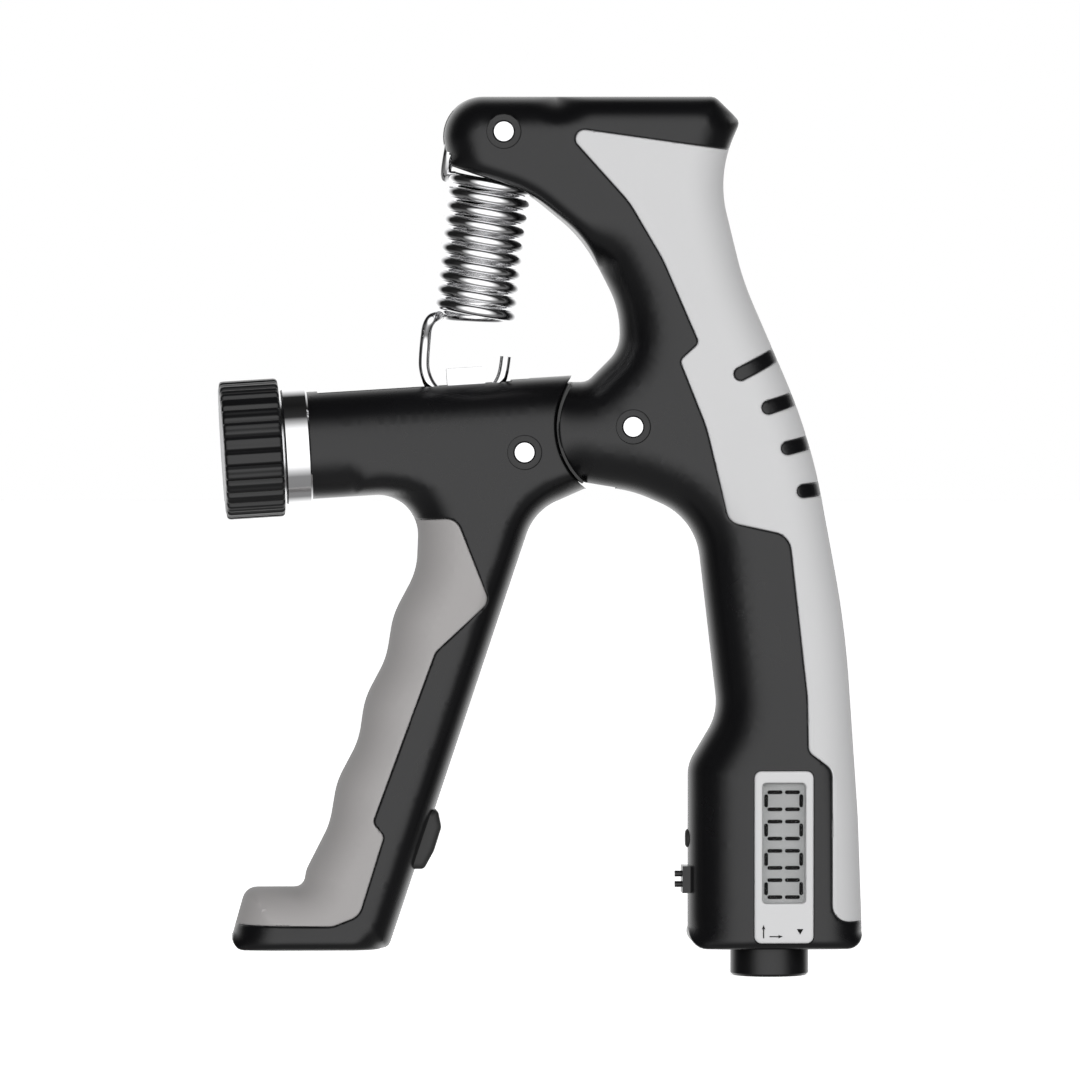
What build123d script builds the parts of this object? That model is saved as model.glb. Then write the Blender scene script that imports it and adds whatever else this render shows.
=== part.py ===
"""Adjustable spring hand grip with a repetition counter.

Millimetres. +Z is up, the grip is upright, and X runs from the adjusting knob (-X) to the palm side (+X).
Y is the thickness, with the display on the -Y face. The origin is at the middle of the base of the
bounding box, level with the underside of the reset knob.
"""
from build123d import *
import os
from math import atan2, cos, degrees, radians, sin

os.makedirs("parts", exist_ok=True)

# ---------------------------------------------------------------- driving dimensions
FRAME_HALF = 12.0          # half the frame's thickness
LEVER_HALF = 10.7          # half the lever's thickness, and the barrel's radius
EDGE_ROUND = 4.0           # rounding of the moulded casings' long edges
SKIN = 1.8                 # thickness of the soft grips
WALL = 4.0                 # outer surface to the hollow inside a casing
BASE_Z = 5.6               # underside of the frame and of the lever's foot

PIVOT = (18.0, 110.1)      # main pivot, X and Z
ANCHOR = (-7.8, 168.9)     # pin that the spring hangs from
LEVER_PIN = (-3.6, 105.0)  # pin that fixes the hinge plate in the lever
HUB_RADIUS = 14.9          # round end of the frame at the pivot
SOCKET_RADIUS = 15.4       # hollow end of the lever that faces it
PIN_RADIUS = 2.35
PIN_SETBACK = 0.6          # pin ends lie this far under the casing's surface
SCREW_HEAD = 2.6           # radius of a casing screw's head
SCREW_HEAD_HEIGHT = 1.8
SCREW_SHANK = 1.25         # radius
SCREW_SEAT = 3.4           # the head bears this far under the rear surface
SCREW_TIP = 4.5            # the point stops this far short of the front surface
RECESS_RADIUS = 3.5        # round recess about each pin's end
RECESS_DEPTH = 0.9
SQUEEZE_DEGREES = 30       # how far the lever closes on the frame
PLATE_HALF = 2.0           # half the hinge plate's thickness
HUB_SLOT_HALF = 2.5        # half width of the slot that the hinge plate swings in

BARREL_TILT = 3.5          # degrees, rising towards the pivot
BARREL_END = 64.3          # all barrel lengths are measured from the pivot along the barrel
COLLAR_END = 69.5
KNOB_START = 69.9
KNOB_END = 81.6
KNOB_RADIUS = 13.85
KNOB_FLUTES = 28           # grooves round the knob
DISC_RADIUS = 12.4         # disc let into the knob's end
BORE_RADIUS = 7.5
SLOT_HALF = 2.9            # half width of the slot that the spring's hook drops into
SLOT_START = 23.2
SLOT_STOP = 62.1
SCREW_RADIUS = 2.5
RUNNING = 0.06             # radial clearance of running fits

SPRING_TILT = 6.43         # degrees, the top leans towards +X
SPRING_TOP = (-8.9, 168.9)  # point on the coil's axis, level with the anchor pin
WIRE = 1.15                # radius of the spring wire
COIL_RADIUS = 7.25         # middle of the wire
COIL_PITCH = 2.8
COIL_TURNS = 10
COIL_START = -10.0         # along the spring's axis, from SPRING_TOP
LOOP_RADIUS = 8.25         # middle of the wire in the upper hook
UPPER_LOOP = (-0.55, -4.35)  # its centre, across and along the spring's axis
LOWER_LOOP_RADIUS = 8.1
LOWER_LOOP = (-1.07, -46.69)
TAIL_LENGTH = 1.5          # straight end of the lower hook
NOSE_SLOT_HALF = 1.6       # half width of the slot in the nose
SPRING_SWING = 17.6        # degrees that the spring swings when the nut is fully wound out
HOOK_PIN = (-14.7, 117.2)  # pin that the spring's lower hook pulls on
HOOK_PIN_RADIUS = 1.5

COUNTER_X = 48.1           # middle of the counter's face plate
COUNTER_Z = 24.2
DIGIT_START = 17.9         # height of the lowest digit's middle
DIGIT_PITCH = 5.85
DOOR_MIDDLE = (47.0, 30.8)  # battery door, on the rear face
DOOR_SCREW = (47.0, 23.2)
CELL_MIDDLE = (47.0, 33.0)
RESET_X = 46.0             # axis of the reset knob
RESET_RADIUS = 7.8
RESET_SHAFT = 2.0          # radius of the reset knob's shaft
PLUNGER_Z = 19.25          # height of the counting plunger
BUMP_Z = 27.4              # height of the small stop above it
BUMP_RADIUS = 1.9

# Corners of the outlines: each a point and the radius of the arc that rounds it off.
FRAME_OUTLINE = [
    ((-20.9, 175.8), 8.0), ((34.7, 175.8), 2.0), ((39.9, 170.9), 1.6), ((35.2, 160.3), 24.0),
    ((40.4, 139.1), 60.0), ((53.9, 107.9), 115.0), ((60.9, 70.0), 200.0), ((63.5, 32.0), 150.0),
    ((64.42, BASE_Z), 3.2), ((29.6, BASE_Z), 3.4), ((29.6, 42.3), 8.0), ((35.6, 52.4), 11.0),
    ((31.1, 91.4), 13.0), ((19.1, 96.8), 25.0), ((-3.0, 100.5), 0.0), ((-3.0, 118.8), 0.0),
    ((9.4, 118.8), 3.0), ((15.95, 125.35), 7.0), ((15.95, 133.3), 19.0), ((8.7, 147.6), 25.0),
    ((-2.6, 156.9), 25.0), ((-18.4, 162.2), 1.8),
]
PALM_SEAM = [
    ((3.6, 169.9), 1.8), ((44.0, 164.2), 0.0), ((72.0, 164.2), 0.0), ((72.0, 11.1), 0.0),
    ((57.8, 11.1), 3.5), ((57.8, 41.6), 3.0), ((53.0, 45.2), 2.0), ((52.8, 56.0), 20.0),
    ((49.2, 88.4), 4.0), ((37.2, 91.0), 3.0), ((32.6, 110.0), 30.0), ((27.3, 123.3), 1.2),
    ((31.1, 126.8), 1.2), ((23.8, 143.6), 30.0), ((17.2, 154.8), 20.0),
]
LEVER_OUTLINE = [
    ((7.4, 110.0), 0.0), ((-33.5, 106.9), 0.0), ((-33.5, 96.6), 0.0), ((-24.3, 96.2), 6.0),
    ((-24.7, 81.2), 5.5), ((-29.4, 72.4), 5.5), ((-30.8, 63.7), 5.5), ((-35.1, 55.6), 5.5),
    ((-36.3, 47.3), 5.5), ((-40.7, 39.0), 5.5), ((-42.1, 30.6), 5.5), ((-46.8, 21.4), 5.5),
    ((-47.4, 18.0), 2.0), ((-58.9, 18.0), 3.0), ((-62.4, BASE_Z), 2.2), ((-30.4, BASE_Z), 1.8),
    ((-1.2, 93.0), 11.0), ((7.4, 96.8), 0.0),
]
FINGER_SEAM = [
    ((-30.0, 91.0), 0.0), ((-17.2, 91.9), 3.0), ((-10.6, 75.2), 2.5), ((-21.4, 65.2), 3.0),
    ((-33.9, 31.2), 1.5), ((-31.6, 28.6), 1.5), ((-36.6, 12.6), 3.5), ((-42.0, 10.5), 4.0),
    ((-66.0, 10.8), 0.0), ((-66.0, 30.0), 0.0), ((-52.0, 60.0), 0.0),
]
GRIP_RIBS = [              # inner end and outer end of each dark rib across the palm grip
    ((39.4, 120.6), (50.0, 126.0)), ((45.0, 113.9), (56.0, 117.2)),
    ((48.9, 105.8), (60.0, 108.2)), ((52.1, 97.2), (62.0, 98.1)),
]
RIB_HALF_WIDTH = 1.4
FRAME_SCREWS = [(22.5, 131.5), (42.5, 73.0), (34.9, 33.5)]
LEVER_SCREWS = [(-16.2, 66.0), (-23.8, 43.5)]
STRIKER_OUTLINE = [
    ((-25.8, 33.2), 0.0), ((-20.6, 33.4), 0.8), ((-19.9, 30.0), 2.0), ((-21.4, 25.2), 4.0),
    ((-23.4, 21.6), 1.0), ((-28.4, 21.6), 0.0),
]

SIDE = Plane.XZ            # its normal is -Y, towards the display


# ---------------------------------------------------------------- helpers
def face_of(corners):
    """A closed outline in the side plane: straight runs joined by tangent arcs."""
    points = [point for point, _ in corners]
    radii = [radius for _, radius in corners]
    return SIDE * make_face(FilletPolyline(*points, radius=radii, close=True))


def slab(face, half):
    """A side-plane face thickened equally both ways."""
    return extrude(face, amount=half, both=True)


def layer(face, y_from, y_to):
    """A side-plane face thickened from one Y to another."""
    return Pos(0, y_from, 0) * extrude(face, amount=y_from - y_to)


def rod(centre, radius, y_from, y_to):
    """A round bar along Y."""
    return layer(SIDE * (Pos(*centre) * Circle(radius)), y_from, y_to)


def brick(x_from, x_to, y_from, y_to, z_from, z_to):
    """A box from its six faces."""
    size = (x_to - x_from, y_to - y_from, z_to - z_from)
    middle = ((x_from + x_to) / 2, (y_from + y_to) / 2, (z_from + z_to) / 2)
    return Pos(*middle) * Box(*size)


def post(x, y, radius, z_from, z_to):
    """A round bar along Z."""
    return Pos(x, y, (z_from + z_to) / 2) * Cylinder(radius, z_to - z_from)


def rounded(face, half, radius):
    """A slab with the long edges of both its sides rounded."""
    body = slab(face, half)
    rims = [edge for edge in body.edges() if abs(abs(edge.center().Y) - half) < 1e-6]
    return fillet(rims, radius=radius)


TILT = radians(BARREL_TILT)
BARREL = Plane(
    origin=(PIVOT[0], 0, PIVOT[1]),
    x_dir=(-sin(TILT), 0, cos(TILT)),
    z_dir=(-cos(TILT), 0, -sin(TILT)),
)


def drum(radius, start, stop, height=0.0):
    """A round bar along the barrel, between two distances from the pivot."""
    return BARREL * Pos(height, 0, (start + stop) / 2) * Cylinder(radius, stop - start)


def bar(low, high, half_width, start, stop, y_middle=0.0):
    """A box in the barrel's own directions: heights above its axis, Y, and distances from the pivot."""
    place = Pos((low + high) / 2, y_middle, (start + stop) / 2)
    return BARREL * place * Box(high - low, 2 * half_width, stop - start)


def front_half(body):
    return body & brick(-100, 100, -40, 0, -20, 200)


def rear_half(body):
    return body & brick(-100, 100, 0, 40, -20, 200)


def screw_holes(places, half):
    """Counterbore, clearance hole and pilot hole of each casing screw, entering from the rear."""
    holes = []
    for place in places:
        holes.append(rod(place, SCREW_HEAD + 0.2, half - SCREW_SEAT, half + 1))
        holes.append(rod(place, SCREW_SHANK + 0.35, 0, half))
        holes.append(rod(place, SCREW_SHANK, SCREW_TIP - 0.5 - half, 0))
    return holes


def screws(places, half):
    """Pan-head casing screws with a cross recess, as separate solids."""
    made = []
    for place in places:
        top = half - SCREW_SEAT + SCREW_HEAD_HEIGHT
        head = rod(place, SCREW_HEAD, half - SCREW_SEAT, top)
        shank = rod(place, SCREW_SHANK, SCREW_TIP - half, half - SCREW_SEAT)
        cross = Rectangle(3.0, 0.7) + Rectangle(0.7, 3.0)
        recess = layer(SIDE * (Pos(*place) * cross), top - 1.0, half)
        made.append(head + shank - recess)
    return made


def pin(centre, half):
    """A solid pin along Y with chamfered ends."""
    shaft = rod(centre, PIN_RADIUS, PIN_SETBACK - half, half - PIN_SETBACK)
    rims = [edge for edge in shaft.edges() if abs(edge.center().Y) > half - PIN_SETBACK - 0.1]
    return chamfer(rims, length=0.4)


def pin_holes(centre, half):
    """The bore of a pin and the recess round each of its ends."""
    bore = rod(centre, PIN_RADIUS, -20, 20)
    rear_recess = rod(centre, RECESS_RADIUS, half - RECESS_DEPTH, 20)
    front_recess = rod(centre, RECESS_RADIUS, -20, RECESS_DEPTH - half)
    return bore + rear_recess + front_recess


def coil(radius, wire, pitch, turns, lefthand=False):
    """A round-wire helix standing on the origin, starting on the -X side."""
    path = Rot(0, 0, 180) * Helix(pitch, pitch * turns, radius, lefthand=lefthand)
    section = Plane(origin=path @ 0, z_dir=path % 0) * Circle(wire)
    return sweep(section, path=path, is_frenet=True)


LEAN = radians(SPRING_TILT)
SPRING = Plane(
    origin=(SPRING_TOP[0], 0, SPRING_TOP[1]),
    x_dir=(cos(LEAN), 0, -sin(LEAN)),
    z_dir=(sin(LEAN), 0, cos(LEAN)),
)


def spring_point(x, z):
    """A point given across and along the spring's own axis, as X and Z of the whole grip."""
    across = SPRING_TOP[0] + x * cos(LEAN) + z * sin(LEAN)
    up = SPRING_TOP[1] - x * sin(LEAN) + z * cos(LEAN)
    return (across, up)


def hook_wire(path):
    """Spring wire along a path in the spring's middle plane, where x is across and y along the axis."""
    upright = Plane.XZ * path
    section = Plane(origin=upright @ 0, z_dir=upright % 0) * Circle(WIRE)
    return sweep(section, path=upright)


# ---------------------------------------------------------------- frame casing
HUB_CUT = brick(-10, 9, -20, 20, 90, 130) - rod(PIVOT, HUB_RADIUS, -20, 20)
FRAME_FACE = face_of(FRAME_OUTLINE) - HUB_CUT


def frame_envelope():
    """The outer surface of casing and grip together, with the round hub end that faces the lever."""
    body = rounded(face_of(FRAME_OUTLINE), FRAME_HALF, EDGE_ROUND) - HUB_CUT
    hub_rims = [edge for edge in body.edges() if edge.geom_type == GeomType.CIRCLE and on_hub_end(edge)]
    return chamfer(hub_rims, length=0.6)


def on_hub_end(edge):
    """Whether an edge is one of the two arcs where the hub's round end meets the casing's sides."""
    flat_side = abs(abs(edge.center().Y) - FRAME_HALF) < 1e-6
    return flat_side and abs(edge.radius - HUB_RADIUS) < 1e-6


def rib_face(inner, outer):
    """A straight slot with round ends between two points of the side plane."""
    turn = degrees(atan2(outer[1] - inner[1], outer[0] - inner[0]))
    length = ((outer[0] - inner[0]) ** 2 + (outer[1] - inner[1]) ** 2) ** 0.5
    middle = ((outer[0] + inner[0]) / 2, (outer[1] + inner[1]) / 2)
    return SIDE * (Pos(*middle) * Rot(0, 0, turn) * SlotCenterToCenter(length, 2 * RIB_HALF_WIDTH))


def palm_grip(envelope):
    """The soft skin over the palm side, open where the casing's ribs show through."""
    core = slab(offset(FRAME_FACE, amount=-SKIN), FRAME_HALF - SKIN)
    grip = (envelope - core) & slab(face_of(PALM_SEAM), 20)
    for inner, outer in GRIP_RIBS:
        grip -= slab(rib_face(inner, outer), 20)
    return grip


def frame_hollow():
    """The space inside the casing, less the bosses, the solid hub and the solid nose."""
    space = slab(offset(FRAME_FACE, amount=-WALL), FRAME_HALF - WALL)
    space += post(RESET_X, 0, RESET_RADIUS + 0.8, BASE_Z + 2.4, 14.0)
    for place in FRAME_SCREWS:
        space -= rod(place, 3.2, -20, 20)
    space -= rod(PIVOT, 9.0, -20, 20)
    space -= rod(ANCHOR, 16.0, -20, 20)
    return space


def hinge_plate_face(grow=0.0):
    """The flat link between the main pivot and the lever pin."""
    eye = Pos(*PIVOT) * Circle(7.0 + grow)
    foot = Pos(*LEVER_PIN) * Circle(5.5 + grow)
    return SIDE * make_hull((eye + foot).edges())


def turned(body, degrees_closed):
    """A body swung about the main pivot as the lever swings when it closes."""
    return Pos(PIVOT[0], 0, PIVOT[1]) * Rot(0, -degrees_closed, 0) * Pos(-PIVOT[0], 0, -PIVOT[1]) * body


def hub_slot():
    """The room that the hinge plate sweeps inside the frame's hub."""
    room = slab(hinge_plate_face(0.5), HUB_SLOT_HALF)
    slot = turned(room, -1)
    for step in range(1, 7):
        slot += turned(room, -1 + step * (SQUEEZE_DEGREES + 2) / 6)
    return slot


def spring_room():
    """The slot in the nose for the spring's upper hook and the hollow under it for the top of the coil.

    Both clear the spring from its upright place to its furthest swing.
    """
    reach = LOOP_RADIUS + WIRE + 0.35
    length = UPPER_LOOP[1] - COIL_START + 8
    middle = spring_point(UPPER_LOOP[0], UPPER_LOOP[1] - length / 2)
    mouth = SIDE * (Pos(*middle) * Rot(0, 0, -SPRING_TILT) * Rectangle(2 * reach, length))
    slot = rod(spring_point(*UPPER_LOOP), reach, -NOSE_SLOT_HALF, NOSE_SLOT_HALF)
    slot += slab(mouth, NOSE_SLOT_HALF)
    pocket = SPRING * Pos(0, 0, COIL_START - 4.5) * Cylinder(COIL_RADIUS + WIRE + 0.6, 13.0)
    room = slot + pocket
    for step in range(1, 4):
        turn = Rot(0, SPRING_SWING * step / 3, 0)
        swing = Pos(ANCHOR[0], 0, ANCHOR[1]) * turn * Pos(-ANCHOR[0], 0, -ANCHOR[1])
        room += swing * (slot + pocket)
    return room


def counter_openings():
    """The recess for the face plate and the opening behind it for the display."""
    recess = layer(plate_face(0.15), -13, -10.9)
    opening = brick(COUNTER_X - 5.0, COUNTER_X + 5.0, -13, -7, 14.3, 39.7)
    return recess + opening


def plate_face(grow=0.0):
    """The counter's face plate seen from the front."""
    shape = RectangleRounded(11.8 + 2 * grow, 34.4 + 2 * grow, 1.4)
    return SIDE * (Pos(COUNTER_X, COUNTER_Z) * shape)


def door_face(grow=0.0):
    """The battery door seen from the rear."""
    shape = RectangleRounded(16.4 + 2 * grow, 20.8 + 2 * grow, 2.0)
    return SIDE * (Pos(*DOOR_MIDDLE) * shape)


def frame_casing(envelope, grip):
    """The moulded frame as one body, before it is parted into halves."""
    body = envelope - grip - frame_hollow() - hub_slot() - spring_room()
    body -= pin_holes(PIVOT, FRAME_HALF)
    body -= pin_holes(ANCHOR, FRAME_HALF)
    for hole in screw_holes(FRAME_SCREWS, FRAME_HALF):
        body -= hole
    body += brick(31.0, 61.0, -10.0, 10.0, 12.0, 13.6)
    body -= post(RESET_X, 0, RESET_RADIUS + 0.3, 0, 10)
    body -= post(RESET_X, 0, RESET_SHAFT + RUNNING, 10, 16)
    body -= counter_openings()
    body -= layer(door_face(0.1), 10.4, 13)
    body -= brick(40.3, 53.7, 7, 11, 26.3, 39.7)
    body -= rod(DOOR_SCREW, 1.1, 7.9, 11)
    body -= brick(20.0, 34.4, -3.0, 3.0, PLUNGER_Z - 2.7, PLUNGER_Z + 2.7)
    body -= Pos(31, 0, BUMP_Z) * Rot(0, 90, 0) * Cylinder(BUMP_RADIUS, 6)
    return body


def frame_pieces():
    """The frame's casing halves, grip, pins and screws."""
    envelope = frame_envelope()
    grip = palm_grip(envelope)
    casing = frame_casing(envelope, grip)
    washer = rod(PIVOT, 5.0, 2.03, 2.47) - rod(PIVOT, PIN_RADIUS, 0, 5)
    bump = Pos(31.1, 0, BUMP_Z) * Rot(0, 90, 0) * Cylinder(BUMP_RADIUS, 4.0)
    bump = fillet([edge for edge in bump.edges() if edge.center().X < 29.5], radius=0.7)
    return {
        "frame_front_shell": front_half(casing),
        "frame_rear_shell": rear_half(casing),
        "palm_grip": grip,
        "spring_anchor_pin": pin(ANCHOR, FRAME_HALF),
        "main_pivot_pin": pin(PIVOT, FRAME_HALF),
        "pivot_washers": [washer, mirror(washer, Plane.XZ)],
        "frame_screws": screws(FRAME_SCREWS, FRAME_HALF),
        "lever_bump_stop": bump,
    }


# ---------------------------------------------------------------- counter
def digit(z_middle):
    """A seven-segment nought lying on its side: two bars above, two below and one at each end."""
    bars = []
    for z in (z_middle - 1.7, z_middle + 1.7):
        for x in (COUNTER_X - 1.75, COUNTER_X + 1.75):
            bars.append(layer(SIDE * (Pos(x, z) * SlotOverall(3.0, 0.75)), -11.0, -10.9))
    for x in (COUNTER_X - 3.5, COUNTER_X + 3.5):
        bars.append(layer(SIDE * (Pos(x, z_middle) * Rot(0, 0, 90) * SlotOverall(2.6, 0.75)), -11.0, -10.9))
    return bars


def counter_pieces():
    """The face plate, display, board, switches and cell behind it."""
    opening = brick(COUNTER_X - 4.3, COUNTER_X + 4.3, -13, -10, 15.0, 39.0)
    plate = layer(plate_face(), -12.3, -11.1) - opening
    digits = []
    for place in range(4):
        digits += digit(DIGIT_START + DIGIT_PITCH * place)
    strips = [brick(43.4, 52.8, -9.2, -6.6, z, z + 1.4) for z in (14.6, 38.0)]
    door = layer(door_face(), 10.5, 12.0) - rod(DOOR_SCREW, 1.1, 10, 13) - rod(DOOR_SCREW, 2.1, 11.0, 13)
    screw = rod(DOOR_SCREW, 2.0, 11.05, 11.85) + rod(DOOR_SCREW, 1.05, 8.2, 11.05)
    screw -= layer(SIDE * (Pos(*DOOR_SCREW) * Rectangle(2.6, 0.6)), 11.4, 12)
    contact = brick(45.5, 48.5, -5.6, 1.6, 37.2, 37.6) + brick(43.5, 50.5, 1.6, 1.9, 28.5, 37.6)
    return {
        "counter_face_plate": plate,
        "display_window": brick(COUNTER_X - 4.3, COUNTER_X + 4.3, -12.1, -11.3, 15.0, 39.0),
        "lcd_panel": brick(COUNTER_X - 4.9, COUNTER_X + 4.9, -10.9, -9.2, 14.4, 39.6),
        "lcd_digits": digits,
        "lcd_contact_strips": strips,
        "counter_board": brick(39.4, 57.2, -6.6, -5.6, 14.2, 43.6),
        "count_switch": brick(36.6, 41.6, -5.6, 2.6, 16.4, 22.1),
        "reset_switch": brick(43.5, 48.5, -5.6, 2.6, 16.8, 20.4),
        "button_cell": fillet(rod(CELL_MIDDLE, 5.8, 1.9, 7.3).edges(), radius=0.4),
        "cell_contacts": [contact, brick(43.5, 50.5, 7.3, 7.6, 30.0, 36.0)],
        "battery_door": door,
        "battery_door_screw": screw,
    }


def plunger_pieces():
    """The guide block in the housing's wall and the two-pronged plunger that the lever presses."""
    low, high = PLUNGER_Z - 2.7, PLUNGER_Z + 2.7
    guide = brick(28.4, 34.4, -3.0, 3.0, low, high) - brick(31.0, 35, -2.2, 2.2, low + 0.6, high - 0.6)
    prongs = [PLUNGER_Z - 1.05, PLUNGER_Z + 1.05]
    plunger = brick(31.2, 32.6, -1.9, 1.9, low + 0.9, high - 0.9)
    plunger += Pos(34.0, 0, PLUNGER_Z) * Rot(0, 90, 0) * Cylinder(0.8, 2.8)
    for z in prongs:
        guide -= Pos(30, 0, z) * Rot(0, 90, 0) * Cylinder(0.7, 6)
        plunger += Pos(29.2, 0, z) * Rot(0, 90, 0) * Cylinder(0.6, 4.4)
    turns = Pos(32.87, 0, PLUNGER_Z) * Rot(0, 90, 0) * coil(1.4, 0.25, 0.8, 4)
    return {"plunger_guide": guide, "count_plunger": plunger, "plunger_spring": turns}


def reset_pieces():
    """The reset knob under the housing, its shaft, clip and return spring."""
    knob = post(RESET_X, 0, RESET_RADIUS, 0, 9.2)
    knob = chamfer([edge for edge in knob.edges() if edge.center().Z < 0.1], length=0.5)
    knob -= post(RESET_X, 0, RESET_SHAFT + RUNNING, 3.4, 10)
    shaft = post(RESET_X, 0, RESET_SHAFT, 3.6, 15.6)
    clip = post(RESET_X, 0, 3.6, 13.75, 14.55) - post(RESET_X, 0, RESET_SHAFT, 13, 15)
    turns = Pos(RESET_X, 0, 9.6) * coil(3.2, 0.3, 0.65, 3)
    return {"reset_knob": knob, "reset_shaft": shaft, "reset_clip": clip, "reset_spring": turns}


# ---------------------------------------------------------------- lever
LEVER_FACE = face_of(LEVER_OUTLINE)


def lever_envelope():
    """The outer surface of barrel, handle and finger grip together."""
    body = rounded(LEVER_FACE, LEVER_HALF, EDGE_ROUND) + drum(LEVER_HALF, 8.0, BARREL_END)
    return body - rod(PIVOT, SOCKET_RADIUS, -20, 20)


def finger_grip(envelope):
    """The soft skin on the finger side of the handle."""
    core = slab(offset(LEVER_FACE, amount=-SKIN), LEVER_HALF - SKIN) + drum(LEVER_HALF, 8.0, BARREL_END)
    return (envelope - core) & slab(face_of(FINGER_SEAM), 20)


def lever_casing(envelope, grip):
    """The moulded lever as one body, before it is parted into halves."""
    space = slab(offset(LEVER_FACE, amount=-WALL), LEVER_HALF - WALL) & brick(-80, 10, -20, 20, 0, 86)
    for place in LEVER_SCREWS:
        space -= rod(place, 3.2, -20, 20)
    body = envelope - grip - space
    body -= drum(BORE_RADIUS, 28.4, BARREL_END + 1)
    body -= bar(3.8, 14, SLOT_HALF, SLOT_START, SLOT_STOP)
    body -= bar(3.5, 14, 1.5, SLOT_START - 3.8, SLOT_START + 1)
    body -= slab(hinge_plate_face(0.1), PLATE_HALF + 0.02)
    body -= pin_holes(LEVER_PIN, LEVER_HALF)
    body -= slab(face_of(STRIKER_OUTLINE), 5.0)
    for hole in screw_holes(LEVER_SCREWS, LEVER_HALF):
        body -= hole
    return body


def lever_pieces():
    """The lever's casing halves, grip, hinge plate, striker and screws."""
    envelope = lever_envelope()
    grip = finger_grip(envelope)
    casing = lever_casing(envelope, grip)
    bush_radius = 3.4
    plate = slab(hinge_plate_face(), PLATE_HALF)
    plate -= rod(PIVOT, bush_radius, -5, 5)
    plate -= rod(LEVER_PIN, PIN_RADIUS, -5, 5)
    bush = rod(PIVOT, bush_radius, -PLATE_HALF, PLATE_HALF) - rod(PIVOT, PIN_RADIUS + RUNNING, -5, 5)
    return {
        "lever_front_shell": front_half(casing),
        "lever_rear_shell": rear_half(casing),
        "finger_grip": grip,
        "hinge_plate": plate,
        "pivot_bush": bush,
        "lever_pin": pin(LEVER_PIN, LEVER_HALF),
        "striker_pad": slab(face_of(STRIKER_OUTLINE), 5.0),
        "lever_screws": screws(LEVER_SCREWS, LEVER_HALF),
    }


# ---------------------------------------------------------------- adjuster
def adjuster_pieces():
    """The collar, bush and washer fixed in the barrel, and the knob and screw that turn in them."""
    bush_radius = 4.0
    spigot_start = 60.5
    collar = drum(11.6, BARREL_END, COLLAR_END)
    collar = chamfer(collar.edges().filter_by(GeomType.CIRCLE), length=0.35)
    collar += drum(BORE_RADIUS - 0.05, spigot_start, BARREL_END)
    collar -= drum(bush_radius, spigot_start - 1, COLLAR_END + 1)
    bush = drum(bush_radius, spigot_start, COLLAR_END) - drum(SCREW_RADIUS + RUNNING, 50, 80)
    washer = drum(9.0, COLLAR_END + 0.03, KNOB_START - 0.07) - drum(SCREW_RADIUS + RUNNING, 50, 80)
    knob = chamfer(drum(KNOB_RADIUS, KNOB_START, KNOB_END).edges().filter_by(GeomType.CIRCLE), length=0.5)
    for step in range(KNOB_FLUTES):
        groove = Rot(0, 0, 360 * step / KNOB_FLUTES) * Pos(KNOB_RADIUS, 0, 0) * Box(1.4, 0.8, 40)
        knob -= BARREL * Pos(0, 0, KNOB_START) * groove
    knob -= drum(SCREW_RADIUS, KNOB_START - 1, 79.0)
    knob -= drum(DISC_RADIUS, KNOB_END - 0.8, KNOB_END + 1)
    return {
        "barrel_collar": collar,
        "screw_bush": bush,
        "thrust_washer": washer,
        "adjusting_knob": knob,
        "knob_end_disc": drum(DISC_RADIUS, KNOB_END - 0.8, KNOB_END + 0.1),
        "lead_screw": drum(SCREW_RADIUS, 29.0, 79.0),
    }


def slider_pieces():
    """The nut that the lead screw draws along the barrel, with the pin that holds the spring."""
    nut = drum(BORE_RADIUS - 0.3, 30.0, 42.0) - bar(4.0, 14, 20, 20, 50)
    for side in (-1, 1):
        nut += bar(1.5, 13.6, 0.65, 28.5, 36.0, side * 2.1)
    nut -= drum(SCREW_RADIUS + RUNNING, 20, 50)
    nut -= rod(HOOK_PIN, HOOK_PIN_RADIUS, -10, 10)
    return {"slider_nut": nut, "hook_pin": rod(HOOK_PIN, HOOK_PIN_RADIUS, -2.75, 2.75)}


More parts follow.
